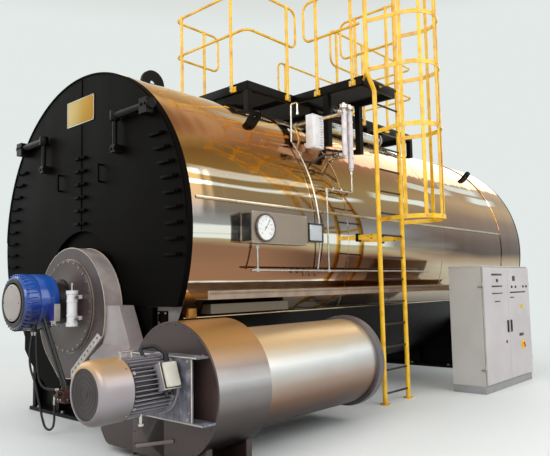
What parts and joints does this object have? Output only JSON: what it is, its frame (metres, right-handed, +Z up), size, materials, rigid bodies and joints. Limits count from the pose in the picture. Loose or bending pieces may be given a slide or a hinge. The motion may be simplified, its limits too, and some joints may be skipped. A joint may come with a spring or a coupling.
{
  "type": "industrial fire-tube steam boiler",
  "caption": "Horizontal fire-tube steam boiler: clad drum on saddles with burner, air fan, caged ladder, railed top walkway and control cabinet.",
  "frame": {"origin": "on the floor under the shell axis, at the front end, at the front edge of the front saddle's base plate", "axes": "+Y back along the shell axis, +X to the right of the front, +Z up"},
  "size_m": [4.649, 9.415, 5.257],
  "materials": {
    "polished_cladding": "mirror-polished stainless sheet",
    "grey_plate": "satin grey paint",
    "black_steel": "semi-gloss black paint",
    "black_front": "heat-resistant satin black",
    "casing_paint": "brown-grey hammer paint",
    "blue_paint": "gloss blue enamel",
    "blue_plastic": "dark blue moulding",
    "white_enamel": "white enamel",
    "dark_brass": "tarnished brass",
    "hose_rubber": "black hose",
    "duct_paint": "light grey paint",
    "brushed_drum": "brushed sheet",
    "stool_steel": "worn grey paint",
    "motor_castings": "cast grey paint",
    "motor_paint": "gloss silver-grey paint",
    "terminal_paint": "pale grey paint",
    "panel_steel": "brushed stainless",
    "dial_glass": "white dial behind glass",
    "pipe_steel": "drawn stainless tube",
    "pipe_lagging": "bright lagging sheet",
    "tray_zinc": "galvanised",
    "yellow_paint": "gloss safety yellow",
    "cabinet_paint": "light grey powder coat",
    "switch_plastic": "yellow and red moulding"
  },
  "bodies": {
    "boiler": {"shell_cladding": "polished_cladding", "front_end_plate": "grey_plate", "rear_end_plate": "black_steel", "flue_outlet": "black_steel", "smokebox_door_left": "black_front", "smokebox_door_right": "black_front", "lower_front_plate": "black_front", "door_clamps": "black_steel", "davit_arms": "black_steel", "lifting_lugs": "black_steel", "front_saddle": "black_steel", "rear_saddle": "black_steel", "burner_volute": "casing_paint", "volute_cover": "casing_paint", "burner_motor": "blue_paint", "burner_servo": "blue_plastic", "filter_cylinder": "white_enamel", "fuel_block": "dark_brass", "hose_long": "hose_rubber", "hose_short": "hose_rubber", "air_duct": "duct_paint", "fan_housing": "brushed_drum", "fan_front_disc": "casing_paint", "motor_stool": "stool_steel", "fan_motor_body": "motor_castings", "fan_motor_cowl": "motor_paint", "terminal_box": "terminal_paint", "inlet_silencer": "brushed_drum", "silencer_ring": "grey_plate", "fan_base": "casing_paint", "gauge_panel": "panel_steel", "gauge_dial": "dial_glass", "impulse_pipes": "pipe_steel", "level_box": "white_enamel", "level_columns": "white_enamel", "steam_pipe": "pipe_lagging", "manhole": "black_steel", "cable_tray": "tray_zinc", "walkway_deck": "black_steel", "landing_deck": "black_steel", "platform_legs": "black_steel", "rail_front_end": "yellow_paint", "rail_front_left": "yellow_paint", "rail_front_right": "yellow_paint", "rail_rear_left": "yellow_paint", "rail_rear_end": "yellow_paint", "rail_rear_right": "yellow_paint", "landing_rail_front": "yellow_paint", "landing_rail_rear": "yellow_paint", "ladder": "yellow_paint", "ladder_cage": "yellow_paint", "ladder_brackets": "yellow_paint", "cabinet_body": "cabinet_paint", "cabinet_hinges": "pipe_steel"},
    "door_near": {"cabinet_door_near": "cabinet_paint"},
    "door_far": {"cabinet_door_far": "cabinet_paint", "main_switch": "switch_plastic"}
  },
  "joints": [
    {"name": "door_near_hinge", "type": "hinge", "parent": "boiler", "child": "door_near", "pos_m": [2.797, 3.855, 0.85], "axis": [0, 0, -1], "range_deg": [0, 110]},
    {"name": "door_far_hinge", "type": "hinge", "parent": "boiler", "child": "door_far", "pos_m": [2.797, 5.439, 0.85], "axis": [0, 0, 1], "range_deg": [0, 110]}
  ]
}
